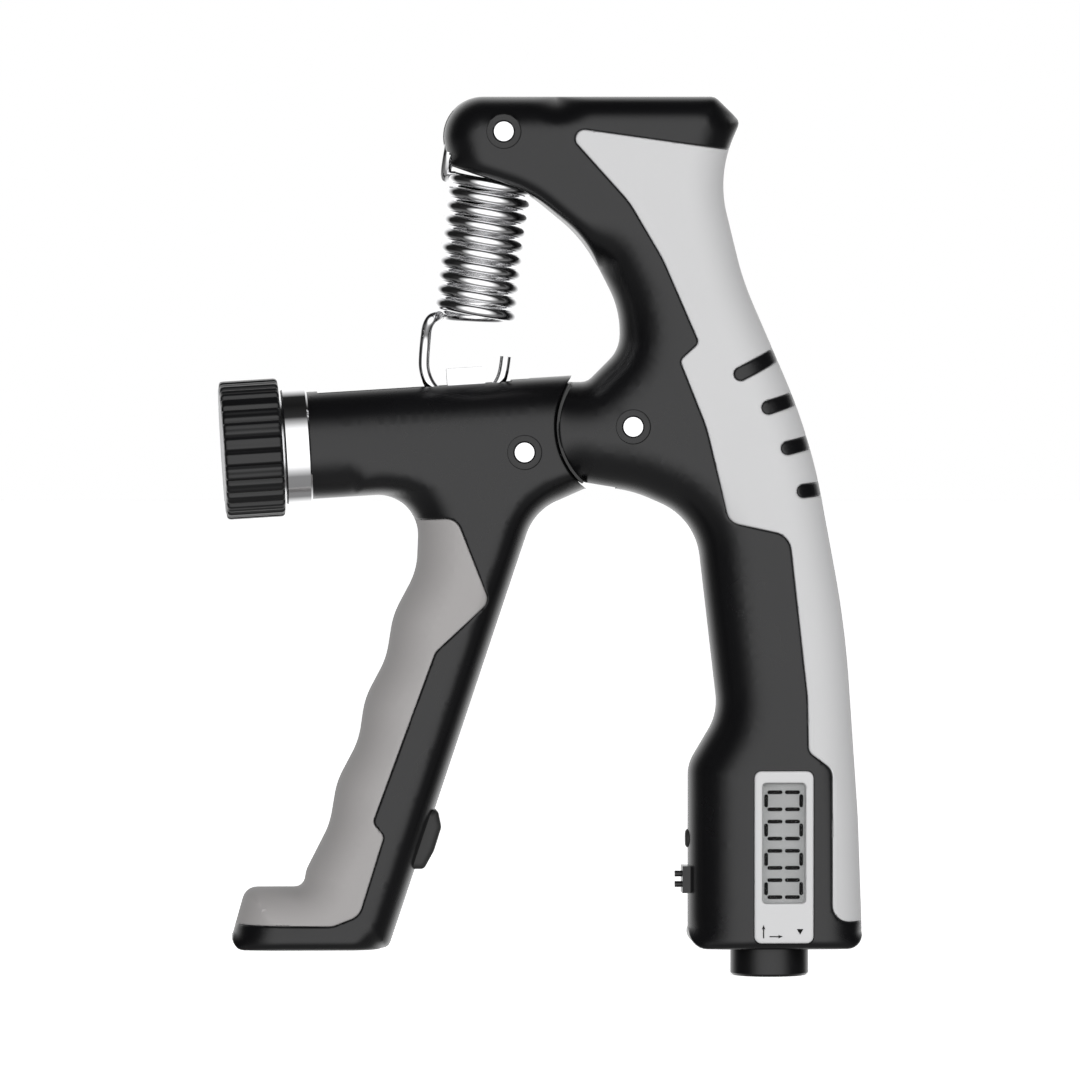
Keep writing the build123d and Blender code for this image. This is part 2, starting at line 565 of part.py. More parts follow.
# ---------------------------------------------------------------- spring
def spring_pieces():
    """The tension spring in three lengths: upper hook and coil, end turn, and lower hook."""
    coil_end = COIL_START - COIL_PITCH * COIL_TURNS
    upper_side = UPPER_LOOP[0] - LOOP_RADIUS
    blind_side = UPPER_LOOP[0] + LOOP_RADIUS
    lower_side = LOWER_LOOP[0] - LOWER_LOOP_RADIUS
    arch = CenterArc(UPPER_LOOP, LOOP_RADIUS, 0, 180)
    left_leg = Line((upper_side, UPPER_LOOP[1]), (upper_side, COIL_START + 1.3))
    right_leg = Line((blind_side, COIL_START + 3.2), (blind_side, UPPER_LOOP[1]))
    turn_in = Line((upper_side, COIL_START + 1.3), (-COIL_RADIUS, COIL_START))
    upper = hook_wire(Wire([right_leg, arch, left_leg])) + hook_wire(Wire([turn_in]))
    upper += Pos(upper_side, 0, COIL_START + 1.3) * Sphere(WIRE)
    upper += Pos(-COIL_RADIUS, 0, COIL_START) * Sphere(WIRE)
    main_turns = COIL_TURNS - 1
    body_coil = Pos(0, 0, coil_end + COIL_PITCH) * coil(COIL_RADIUS, WIRE, COIL_PITCH, main_turns, True)
    end_turn = Pos(0, 0, coil_end) * coil(COIL_RADIUS, WIRE, COIL_PITCH, 1, True)
    bowl = CenterArc(LOWER_LOOP, LOWER_LOOP_RADIUS, 180, 180)
    tail_side = LOWER_LOOP[0] + LOWER_LOOP_RADIUS
    long_leg = Line((lower_side, coil_end - 2.6), (lower_side, LOWER_LOOP[1]))
    tail = Line((tail_side, LOWER_LOOP[1]), (tail_side, LOWER_LOOP[1] + TAIL_LENGTH))
    return {
        "tension_spring": SPRING * (upper + body_coil),
        "spring_end_turn": SPRING * end_turn,
        "spring_lower_hook": SPRING * hook_wire(Wire([long_leg, bowl, tail])),
    }


# ---------------------------------------------------------------- write the pieces
pieces = {}
for group in (
    frame_pieces, counter_pieces, plunger_pieces, reset_pieces, lever_pieces, adjuster_pieces, slider_pieces,
    spring_pieces,
):
    pieces.update(group())
for name, body in pieces.items():
    solids = Compound(children=body) if isinstance(body, list) else body
    export_step(solids, f"parts/{name}.step")
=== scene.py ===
"""Looks of the adjustable hand grip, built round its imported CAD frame.

Outlines and sizes are in millimetres, as on the part's drawing, and each mesh is scaled to metres
as it is made. A point of the side view is a complex number, X + Zj. The display faces -Y.
"""

from cmath import phase, rect
from math import asin, ceil, cos, pi, radians, sin, tan

import bmesh
import bpy
import numpy as np
from mathutils import Matrix, Vector
from mathutils.geometry import delaunay_2d_cdt


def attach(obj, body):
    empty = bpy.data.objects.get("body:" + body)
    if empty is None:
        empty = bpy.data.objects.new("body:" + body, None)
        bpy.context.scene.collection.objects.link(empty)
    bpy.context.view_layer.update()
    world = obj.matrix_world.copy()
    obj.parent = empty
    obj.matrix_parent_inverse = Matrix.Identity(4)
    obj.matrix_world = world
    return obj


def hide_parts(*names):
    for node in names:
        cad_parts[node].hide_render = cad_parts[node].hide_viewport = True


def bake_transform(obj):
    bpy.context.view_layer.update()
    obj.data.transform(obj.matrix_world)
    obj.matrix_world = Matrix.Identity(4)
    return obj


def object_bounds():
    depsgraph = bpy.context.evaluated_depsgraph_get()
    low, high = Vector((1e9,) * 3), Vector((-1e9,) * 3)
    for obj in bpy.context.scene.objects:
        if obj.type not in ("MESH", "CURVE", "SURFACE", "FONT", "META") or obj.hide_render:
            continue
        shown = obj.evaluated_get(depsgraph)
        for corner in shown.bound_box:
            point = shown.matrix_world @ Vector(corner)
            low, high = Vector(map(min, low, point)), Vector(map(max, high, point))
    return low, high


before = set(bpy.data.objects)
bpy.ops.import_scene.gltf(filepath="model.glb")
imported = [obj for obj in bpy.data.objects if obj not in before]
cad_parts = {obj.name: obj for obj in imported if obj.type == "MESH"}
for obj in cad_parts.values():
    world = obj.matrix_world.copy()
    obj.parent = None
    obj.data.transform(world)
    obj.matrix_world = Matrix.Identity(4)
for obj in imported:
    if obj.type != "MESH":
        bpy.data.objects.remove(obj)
cad_low, cad_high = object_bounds()
MM = 0.001
STEP = 0.8                 # spacing of points along an outline
GRID = 2.2                 # spacing of points inside it
ROWS = [0.06, 0.2, 0.45, 0.8, 1.3, 2.0, 2.9, 4.0, 5.4, 7.2, 9.4]   # rows of points inside an edge
DISH_WALL = 0.16           # how far a dish's floor lies inside its rim
SEAM_DROP = 0.55           # how deep and how wide the surface rolls over beside a seam
SEAM_WIDTH = 0.42
THINNEST = 0.12            # least half-thickness of a sheet

# ---------------------------------------------------------------- sizes, as in the CAD part
FRAME_HALF = 12.0
LEVER_HALF = 10.7
BASE_Z = 5.6
PIVOT = 18.0 + 110.1j
ANCHOR = -7.8 + 168.9j
LEVER_PIN = -3.6 + 105.0j
HUB_RADIUS = 14.9
SOCKET_RADIUS = 15.4
RECESS_RADIUS = 3.5
RECESS_DEPTH = 0.9
TILT = radians(3.5)
BARREL_END = 64.3
KNOB_START = 69.9
KNOB_END = 81.6
KNOB_RADIUS = 13.85
DISC_RADIUS = 12.4
FLUTES = 28
LEAN = radians(6.43)
SPRING_TOP = -8.9 + 168.9j
WIRE = 1.15
COIL_RADIUS = 7.25
COIL_PITCH = 2.8
COIL_TURNS = 10
COIL_TOP = -10.0
COIL_BOTTOM = COIL_TOP - COIL_PITCH * COIL_TURNS
COUNTER_X = 48.1
RESET_X = 46.0
RESET_ROOM = 8.1           # radius of the recess round the reset knob, and the height of its roof
RESET_ROOF = 12
PLUNGER_Z = 19.25
PLATE_FRONT = 12.3         # the face plate's front and back, forward of the middle plane
PLATE_BACK = 11.1
HUB_SLOT_HALF = 2.5
NOSE_SLOT_HALF = 1.6
SPRING_SWINGS = (0, 6, 12, 17.6)
BORE_RADIUS = 7.5
BORE_START = 28.4
SLOT = (23.2, 62.1, 3.8, 2.9)      # start and end along the barrel, floor above its axis, half width
RELIEF = (19.4, 24.2, 3.5, 1.5)    # the same for the narrower slot that the hook swings into
SLOT_TOP = 14
GAP_SHADE_RADII = (14.7, 15.2)   # a dark sheet in the gap between hub and lever, painted shade where that gap is dark
GAP_SHADE_TURN = (146, 228)      # degrees
GAP_SHADE_HALF = 11.2

FRAME_OUTLINE = [
    ((-20.9, 175.8), 8.0), ((34.7, 175.8), 2.0), ((39.9, 170.9), 1.6), ((35.2, 160.3), 24.0),
    ((40.4, 139.1), 60.0), ((53.9, 107.9), 115.0), ((60.9, 70.0), 200.0), ((63.5, 32.0), 150.0),
    ((64.42, BASE_Z), 3.2), ((29.6, BASE_Z), 3.4), ((29.6, 42.3), 8.0), ((35.6, 52.4), 11.0),
    ((31.1, 91.4), 13.0), ((19.1, 96.8), 25.0), ((-3.0, 100.5), 0.0), ((-3.0, 118.8), 0.0),
    ((9.4, 118.8), 3.0), ((15.95, 125.35), 7.0), ((15.95, 133.3), 19.0), ((8.7, 147.6), 25.0),
    ((-2.6, 156.9), 25.0), ((-18.4, 162.2), 1.8),
]
PALM_SEAM = [
    ((3.6, 169.9), 1.8), ((44.0, 164.2), 0.0), ((72.0, 164.2), 0.0), ((72.0, 11.1), 0.0), ((57.8, 11.1), 3.5),
    ((57.8, 41.6), 3.0), ((53.0, 45.2), 2.0), ((52.8, 56.0), 20.0), ((49.2, 88.4), 4.0), ((37.2, 91.0), 3.0),
    ((32.6, 110.0), 30.0), ((27.3, 123.3), 1.2), ((31.1, 126.8), 1.2), ((23.8, 143.6), 30.0),
    ((17.2, 154.8), 20.0),
]
FINGER_SEAM = [
    ((-30.0, 91.0), 0.0), ((-17.2, 91.9), 3.0), ((-10.6, 75.2), 2.5), ((-21.4, 65.2), 3.0),
    ((-33.9, 31.2), 1.5), ((-31.6, 28.6), 1.5), ((-36.6, 12.6), 3.5), ((-42.0, 10.5), 4.0),
    ((-66.0, 10.8), 0.0), ((-66.0, 30.0), 0.0), ((-52.0, 60.0), 0.0),
]
STRIKER_OUTLINE = [
    ((-25.8, 33.2), 0.8), ((-20.6, 33.4), 0.8), ((-19.9, 30.0), 2.0), ((-21.4, 25.2), 4.0),
    ((-23.4, 21.6), 1.0), ((-28.4, 21.6), 0.8),
]
GRIP_RIBS = [
    (39.4 + 120.6j, 50.0 + 126.0j), (45.0 + 113.9j, 56.0 + 117.2j),
    (48.9 + 105.8j, 60.0 + 108.2j), (52.1 + 97.2j, 62.0 + 98.1j),
]
RIB_HALF_WIDTH = 1.4
FRAME_SCREWS = [22.5 + 131.5j, 42.5 + 73.0j, 34.9 + 33.5j]
LEVER_SCREWS = [-16.2 + 66.0j, -23.8 + 43.5j]
SCREW_RECESS = 2.8


def barrel_spot(along, height):
    """A point of the side view from its distance along the barrel and its height above the axis."""
    return PIVOT + height * complex(-sin(TILT), cos(TILT)) - along * complex(cos(TILT), sin(TILT))


def pair(spot):
    return (spot.real, spot.imag)


# Distances along the barrel: its underside's corner with the handle, and its top's with the socket.
UNDER_CORNER = 42.8
SOCKET_MOUTH = (SOCKET_RADIUS ** 2 - LEVER_HALF ** 2) ** 0.5 + 0.01
LEVER_OUTLINE = [
    (pair(barrel_spot(SOCKET_MOUTH, LEVER_HALF)), 0.0), (pair(barrel_spot(BARREL_END, LEVER_HALF)), 0.0),
    (pair(barrel_spot(BARREL_END, -LEVER_HALF)), 0.0), (pair(barrel_spot(UNDER_CORNER, -LEVER_HALF)), 8.0),
    ((-24.7, 81.2), 14.0), ((-29.4, 72.4), 16.0), ((-30.8, 63.7), 16.0), ((-35.1, 55.6), 16.0),
    ((-36.3, 47.3), 16.0), ((-40.7, 39.0), 16.0), ((-42.1, 30.6), 16.0), ((-46.8, 21.4), 5.5),
    ((-47.4, 18.0), 2.0), ((-58.9, 18.0), 3.0), ((-62.4, BASE_Z), 2.2), ((-30.4, BASE_Z), 1.8),
    ((-1.2, 93.0), 11.0), ((9.4, 97.7), 0.0),
]


# ---------------------------------------------------------------- side-view geometry
def unit(step):
    return step / abs(step)


def outline(corners, step=STEP):
    """Points along a closed outline whose corners are arcs, and how many corners each has passed."""
    spots = [complex(*spot) for spot, _ in corners]
    path, passed = [], []
    for i, here in enumerate(spots):
        radius = corners[i][1]
        back = unit(spots[i - 1] - here)
        on = unit(spots[(i + 1) % len(spots)] - here)
        if not radius:
            path.append(here)
            passed.append(i)
            continue
        half = abs(phase(on / back)) / 2
        middle = here + unit(back + on) * radius / sin(half)
        arm = here + back * radius / tan(half) - middle
        turn = phase((here + on * radius / tan(half) - middle) / arm)
        count = max(2, ceil(abs(turn) * radius / step))
        path += [middle + arm * rect(1, turn * k / count) for k in range(count + 1)]
        passed += [i] * (count + 1)
    points, marks = [], []
    for i, here in enumerate(path):
        after = path[(i + 1) % len(path)]
        count = max(1, round(abs(after - here) / step))
        points += [here + (after - here) * k / count for k in range(count)]
        marks += [passed[i] + k / count for k in range(count)]
    return np.array(points), np.array(marks)


def circle(centre, radius, count=48):
    """A round outline."""
    return centre + radius * np.exp(2j * pi * np.arange(count) / count)


def lozenge(first, last, half_width):
    """A straight slot's outline, with round ends."""
    along = unit(last - first)
    turns = np.exp(1j * pi * (np.arange(13) / 12 - 0.5)) * half_width * along
    return spread(np.concatenate([last + turns, first - turns]), 0.7)


def spread(points, step):
    """An outline with extra points along its long runs."""
    made = []
    for here, after in zip(points, np.roll(points, -1)):
        count = max(1, round(abs(after - here) / step))
        made += [here + (after - here) * k / count for k in range(count)]
    return np.array(made)


def rounded_box(centre, width, height, radius, step=0.6):
    """A rectangle's outline with round corners."""
    x, z = width / 2, height / 2
    corners = [((centre.real + a, centre.imag + b), radius) for a, b in ((-x, -z), (x, -z), (x, z), (-x, z))]
    return outline(corners, step)[0]


def distance(points, starts, ends):
    """How far each point is from the nearest of some straight pieces."""
    nearest = np.full(len(points), 1e9)
    for a, b in zip(starts, ends):
        along = np.clip(((points - a) * np.conj(b - a)).real / max(abs(b - a) ** 2, 1e-12), 0, 1)
        nearest = np.minimum(nearest, abs(points - a - along * (b - a)))
    return nearest


def from_loop(points, loop):
    return distance(points, loop, np.roll(loop, -1))


def inside(points, loop):
    """Whether each point is inside a closed outline."""
    hit = np.zeros(len(points), bool)
    for a, b in zip(loop, np.roll(loop, -1)):
        if a.imag != b.imag:
            crosses = (a.imag > points.imag) != (b.imag > points.imag)
            x = a.real + (points.imag - a.imag) * (b.real - a.real) / (b.imag - a.imag)
            hit ^= crosses & (points.real < x)
    return hit


def rows_along(loop, offsets):
    """Copies of an outline moved sideways, to the left of its direction for positive offsets."""
    ahead = np.roll(loop, -1) - np.roll(loop, 1)
    side = 1j * ahead / np.maximum(abs(ahead), 1e-9)
    return [loop + side * offset for offset in offsets]


def signed_area(loop):
    return (np.conj(loop) * np.roll(loop, -1)).imag.sum() / 2


# ---------------------------------------------------------------- crowned sheets
class Sheet:
    """A triangulated side view whose half-thickness is a smooth function of place."""

    def __init__(self, rim, seams=(), dishes=(), rows=ROWS, grid=GRID):
        inward = 1 if signed_area(rim) > 0 else -1
        loops = [rim]
        near = []
        for depth, row in zip(rows, rows_along(rim, [inward * r for r in rows])):
            near.append(row[from_loop(row, rim) > 0.93 * depth])
        for seam in seams:
            loops.append(seam)
            near += rows_along(seam, [-0.9, -0.42, -0.3, -0.15, 0.15, 0.3, 0.42, 0.9])
        for loop, _ in dishes:
            centre = middle_of(loop)
            shrink = 1 - DISH_WALL / abs(loop - centre).min()
            loops += [loop, centre + (loop - centre) * shrink]
        xs = np.arange(rim.real.min(), rim.real.max(), grid)
        zs = np.arange(rim.imag.min(), rim.imag.max(), grid * 0.866)
        net = np.array([complex(x + (i % 2) * grid / 2, z) for i, z in enumerate(zs) for x in xs])
        net = net[inside(net, rim)]
        net = net[from_loop(net, rim) > rows[-1] * 0.6]
        extra = np.concatenate(near + [net])
        extra = extra[inside(extra, rim)]
        for loop in loops[1:]:
            extra = extra[from_loop(extra, loop) > 0.1]
        coords, edges = list(extra), []
        for loop in loops:
            first = len(coords)
            coords += list(loop)
            edges += [(first + i, first + (i + 1) % len(loop)) for i in range(len(loop))]
        found = delaunay_2d_cdt([Vector(pair(c)) for c in coords], edges, [], 0, 1e-5)
        self.points = np.array([complex(*v) for v in found[0]])
        self.faces = np.array([f for f in found[2] if len(f) == 3])
        centres = self.points[self.faces].mean(1)
        self.faces = self.faces[inside(centres, rim)]
        self.centres = self.points[self.faces].mean(1)

    def part(self, *tests):
        """The triangles whose middles pass every test."""
        keep = np.ones(len(self.faces), bool)
        for test in tests:
            keep &= test(self.centres)
        return self.faces[keep]


def middle_of(loop):
    return loop.mean()


def edge_profile(points, starts, ends, radius, wall):
    """From wall at an edge to 1 at a radius inside it, along a quarter ellipse."""
    near = np.clip(distance(points, starts, ends) / radius, 0, 1)
    return wall + (1 - wall) * np.sqrt(near * (2 - near))


def soften(points, loops, depth, width):
    """How far the surface rolls over beside the seams."""
    drop = np.zeros(len(points))
    for loop in loops:
        near = np.clip(from_loop(points, loop) / width, 0, 1)
        drop = np.maximum(drop, depth * (1 - np.sqrt(near * (2 - near))))
    return drop


def add_half(bm, points, faces, heights, sign, base=0.0, inset=0.1):
    """Adds a closed half to a mesh: a crowned sheet, its side walls, and a flat back at the base height."""
    used = np.unique(faces)
    top = {i: bm.verts.new((points[i].real * MM, sign * heights[i] * MM, points[i].imag * MM)) for i in used}
    for a, b, c in faces:
        bm.faces.new((top[a], top[b], top[c]))
    edges = {}
    for tri in faces:
        for a, b in ((tri[0], tri[1]), (tri[1], tri[2]), (tri[2], tri[0])):
            edges[(a, b)] = edges.get((b, a), 0)
    border = [(a, b) for a, b in edges if (b, a) not in edges]
    side = {}
    for a, b in border:
        normal = 1j * unit(points[b] - points[a])
        side[a] = side.get(a, 0) + normal
        side[b] = side.get(b, 0) + normal
    rim = {}
    for i, normal in side.items():
        spot = points[i] + inset * (unit(normal) if abs(normal) > 1e-6 else 0)
        rim[i] = bm.verts.new((spot.real * MM, sign * base * MM, spot.imag * MM))
    for a, b in border:
        bm.faces.new((top[b], top[a], rim[a], rim[b]))
    loops = [bm.edges.get((rim[a], rim[b])) for a, b in border]
    bmesh.ops.triangle_fill(bm, use_beauty=True, use_dissolve=False, edges=loops)


def finished(name, bm, material, body, replaces=(), crease=35):
    """Turns a bmesh into a shaded piece that rides on a body."""
    bmesh.ops.recalc_face_normals(bm, faces=bm.faces)
    mesh = bpy.data.meshes.new(name)
    bm.to_mesh(mesh)
    bm.free()
    piece = bpy.data.objects.new(name, mesh)
    bpy.context.scene.collection.objects.link(piece)
    mesh.materials.append(material)
    mesh.shade_smooth()
    mesh.set_sharp_from_angle(angle=radians(crease))
    if replaces:
        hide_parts(*replaces)
    if body:
        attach(piece, body)
    return piece


# ---------------------------------------------------------------- cutting tools
NUDGES = (0.0, 0.003, -0.004, 0.008, -0.011, 0.017)     # tried in turn until a cut comes out whole


def block(loop, low, high):
    """A closed solid: a side-view outline extruded between two Y values."""
    bm = bmesh.new()
    rings = [[bm.verts.new((p.real * MM, y * MM, p.imag * MM)) for p in loop] for y in (low, high)]
    bm.faces.new(rings[0])
    bm.faces.new(rings[1][::-1])
    count = len(loop)
    for i in range(count):
        j = (i + 1) % count
        bm.faces.new((rings[0][j], rings[0][i], rings[1][i], rings[1][j]))
    return bm


def round_bar(start, end, radius, count=64):
    """A closed cylinder between two points in space, in millimetres."""
    bm = bmesh.new()
    axis = Vector(end) - Vector(start)
    turn = axis.to_track_quat("Z", "Y").to_matrix().to_4x4()
    place = Matrix.Translation((Vector(start) + axis / 2) * MM) @ turn
    bmesh.ops.create_cone(
        bm, cap_ends=True, segments=count, radius1=radius * MM, radius2=radius * MM, depth=axis.length * MM,
        matrix=place,
    )
    return bm


def cut(piece, tools, crease=35):
    """Takes solids away from a piece, moving a tool a little when its cut loses the piece."""
    for bm in tools:
        bmesh.ops.recalc_face_normals(bm, faces=bm.faces)
        mesh = bpy.data.meshes.new("tool")
        bm.to_mesh(mesh)
        bm.free()
        tool = bpy.data.objects.new("tool", mesh)
        bpy.context.scene.collection.objects.link(tool)
        boolean = piece.modifiers.new("cut", "BOOLEAN")
        boolean.operation = "DIFFERENCE"
        boolean.solver = "EXACT"
        boolean.object = tool
        for nudge in NUDGES:
            tool.location = [nudge * MM * share for share in (1.0, 0.3, 0.7)]
            graph = bpy.context.evaluated_depsgraph_get()
            made = bpy.data.meshes.new_from_object(piece.evaluated_get(graph))
            if len(made.polygons) > len(piece.data.polygons) / 2:
                break
        piece.modifiers.clear()
        piece.data = made
        bpy.data.objects.remove(tool)
    piece.data.shade_smooth()
    piece.data.set_sharp_from_angle(angle=radians(crease))


def hull(points):
    """The convex outline round some points."""
    order = sorted(points, key=lambda p: (p.real, p.imag))
    halves = []
    for run in (order, order[::-1]):
        chain = []
        for p in run:
            while len(chain) > 1 and ((chain[-1] - chain[-2]).conjugate() * (p - chain[-1])).imag <= 0:
                chain.pop()
            chain.append(p)
        halves += chain[:-1]
    return np.array(halves)


# ---------------------------------------------------------------- materials
def node(tree, kind, x, y, **inputs):
    made = tree.nodes.new(kind)
    made.location = (x, y)
    for key, value in inputs.items():
        made.inputs[key.replace("_", " ")].default_value = value
    return made


def moulded(name, colour, roughness, grain, depth, mottle=0.06, swing=0.05, **shader):
    """A moulded or drawn surface: fine grain in its normals, and slight drift in colour and gloss."""
    made = bpy.data.materials.new(name)
    made.use_nodes = True
    tree = made.node_tree
    main = tree.nodes["Principled BSDF"]
    for key, value in shader.items():
        main.inputs[key.replace("_", " ")].default_value = value
    place = node(tree, "ShaderNodeTexCoord", -1200, 0)
    fine = node(tree, "ShaderNodeTexNoise", -900, -300, Scale=1 / (grain * MM), Detail=3.0, Roughness=0.6)
    broad = node(tree, "ShaderNodeTexNoise", -900, 100, Scale=55.0, Detail=4.0, Roughness=0.55)
    bump = node(tree, "ShaderNodeBump", -450, -300, Strength=0.6, Distance=depth * MM)
    gloss = node(tree, "ShaderNodeMapRange", -650, 100)
    gloss.inputs["To Min"].default_value = roughness - swing
    gloss.inputs["To Max"].default_value = roughness + swing
    tint = tree.nodes.new("ShaderNodeValToRGB")
    tint.location = (-650, 400)
    dark = [c * (1 - mottle) for c in colour]
    light = [min(1, c * (1 + mottle)) for c in colour]
    tint.color_ramp.elements[0].position = 0.3
    tint.color_ramp.elements[0].color = (*dark, 1)
    tint.color_ramp.elements[1].position = 0.7
    tint.color_ramp.elements[1].color = (*light, 1)
    link = tree.links.new
    link(place.outputs["Object"], fine.inputs["Vector"])
    link(place.outputs["Object"], broad.inputs["Vector"])
    link(fine.outputs["Fac"], bump.inputs["Height"])
    link(broad.outputs["Fac"], gloss.inputs["Value"])
    link(broad.outputs["Fac"], tint.inputs["Fac"])
    link(gloss.outputs["Result"], main.inputs["Roughness"])
    link(tint.outputs["Color"], main.inputs["Base Color"])
    link(bump.outputs["Normal"], main.inputs["Normal"])
    return made


BLACK = moulded("black_casing", (0.004, 0.004, 0.0045), 0.27, 0.35, 0.008, mottle=0.1, swing=0.02)
KNOB_BLACK = moulded("knob_black", (0.004, 0.004, 0.0045), 0.3, 0.3, 0.010, mottle=0.1, swing=0.03)
PALM_GREY = moulded("palm_rubber", (0.39, 0.39, 0.394), 0.62, 0.25, 0.02, mottle=0.012, Sheen_Weight=0.12)
FINGER_GREY = moulded(
    "finger_rubber", (0.235, 0.227, 0.225), 0.62, 0.25, 0.02, mottle=0.012, Sheen_Weight=0.12
)
CHROME = moulded("chrome", (0.86, 0.86, 0.87), 0.09, 2.0, 0.002, mottle=0.01, swing=0.03, Metallic=1.0)
STEEL = moulded("turned_steel", (0.80, 0.80, 0.81), 0.2, 0.4, 0.004, mottle=0.03, swing=0.06, Metallic=1.0)
BRASS = moulded("brass", (0.78, 0.57, 0.27), 0.25, 0.4, 0.004, mottle=0.03, Metallic=1.0)
RUBBER = moulded("black_rubber", (0.018, 0.018, 0.018), 0.6, 0.3, 0.02)
PLATE_GREY = moulded("face_plate", (0.40, 0.40, 0.404), 0.38, 0.3, 0.004, mottle=0.01)
DISC_GREY = moulded("knob_disc", (0.42, 0.42, 0.43), 0.4, 0.3, 0.006, mottle=0.02)
LCD_GREY = moulded("lcd", (0.27, 0.275, 0.275), 0.3, 3.0, 0.001, mottle=0.12, swing=0.04)
INK = moulded("ink", (0.004, 0.004, 0.004), 0.6, 0.3, 0.002, Specular_IOR_Level=0.1)
GREEN_BOARD = moulded("board", (0.03, 0.16, 0.07), 0.35, 0.5, 0.01)
WINDOW = moulded("window", (0.02, 0.02, 0.02), 0.06, 3.0, 0.001, mottle=0.0, swing=0.02, Alpha=0.04)


# ---------------------------------------------------------------- frame
def hub_rounded(rim):
    """Presses the hub's end of the frame's outline onto its circle."""
    end = (rim.real < 9) & (rim.imag > 90) & (rim.imag < 130) & (abs(rim - PIVOT) > HUB_RADIUS)
    return np.where(end, PIVOT + HUB_RADIUS * (rim - PIVOT) / abs(rim - PIVOT), rim), end


def frame_sheet(dishes):
    """The frame's triangulated side view with its half-thickness."""
    rim, marks = outline(FRAME_OUTLINE)
    rim, hub = hub_rounded(rim)
    ends = np.roll(rim, -1)
    seam = outline(PALM_SEAM, 0.7)[0]
    ribs = [lozenge(a, b, RIB_HALF_WIDTH) for a, b in GRIP_RIBS]
    sheet = Sheet(rim, [seam, *ribs], dishes)
    points = sheet.points
    heights = np.full(len(points), FRAME_HALF)
    top = (marks > 0.3) & (marks < 2.0)
    palm = (marks >= 2.0) & (marks < 8.0)
    bottom = (marks >= 8.0) & (marks < 9.02)
    chin = (marks > 18.7) & (marks <= 21.2)
    nose = (marks > 21.2) | (marks <= 0.3)
    inner = ~(top | palm | bottom | hub | chin | nose)
    for chosen, radius, wall in (
        (top, 6.0, 0.42), (palm, 9.0, 0.3), (bottom, 2.5, 0.78), (inner, 12.0, 0.0), (chin, 4.0, 0.72),
        (nose, 8.0, 0.2), (hub, 0.6, 0.95),
    ):
        heights *= edge_profile(points, rim[chosen], ends[chosen], radius, wall)
    heights -= soften(points, [seam, *ribs], SEAM_DROP, SEAM_WIDTH)
    for loop, depth in dishes:
        deep = inside(points, loop) & (from_loop(points, loop) > 0.05)
        heights[deep] = FRAME_HALF - depth
    sheet.heights = np.maximum(heights, THINNEST)
    sheet.seam, sheet.ribs = seam, ribs
    return sheet


def within(loop):
    return lambda spots: inside(spots, loop)


def outside(loop):
    return lambda spots: ~inside(spots, loop)


def pin_dish(centre):
    return (circle(centre, RECESS_RADIUS), RECESS_DEPTH)


PLATE_CENTRE = COUNTER_X + 24.2j
DOOR_CENTRE = 47.0 + 30.8j
FRONT_DISHES = [pin_dish(PIVOT), pin_dish(ANCHOR), (rounded_box(PLATE_CENTRE, 12.1, 34.7, 1.5), 3.0)]
REAR_DISHES = [
    pin_dish(PIVOT), pin_dish(ANCHOR), (rounded_box(DOOR_CENTRE, 16.6, 21.0, 2.1), 1.6),
    *((circle(spot, SCREW_RECESS), 3.4) for spot in FRAME_SCREWS),
]


def turned(loop, centre, angle):
    return centre + (loop - centre) * np.exp(1j * angle)


def hinge_sweep():
    """Room in the hub for the hinge plate, from open to closed."""
    plate = hull(list(circle(PIVOT, 7.5)) + list(circle(LEVER_PIN, 6.0)))
    swings = (-1, 8, 16, 24, 32)
    return [block(turned(plate, PIVOT, radians(a)), -HUB_SLOT_HALF, HUB_SLOT_HALF) for a in swings]


def spring_spot(x, z):
    """A point of the side view from its place across and along the spring's axis."""
    return SPRING_TOP + x * complex(cos(LEAN), -sin(LEAN)) + z * complex(sin(LEAN), cos(LEAN))


def spring_room():
    """Room in the nose for the upper hook and the top of the coil, over the spring's swing."""
    tools = []
    for swing in SPRING_SWINGS:
        crown = spring_spot(-0.55, -4.35) + 9.75 * np.exp(1j * (np.linspace(0, pi, 25) - LEAN))
        mouth = [spring_spot(-10.3, -18), spring_spot(9.2, -18)]
        slot = turned(np.concatenate([crown, mouth]), ANCHOR, -radians(swing))
        tools.append(block(slot, -NOSE_SLOT_HALF, NOSE_SLOT_HALF))
        ends = turned(np.array([spring_spot(0, -8.0), spring_spot(0, -21.0)]), ANCHOR, -radians(swing))
        tools.append(round_bar(*[(e.real, 0, e.imag) for e in ends], COIL_RADIUS + WIRE + 0.2))
    return tools


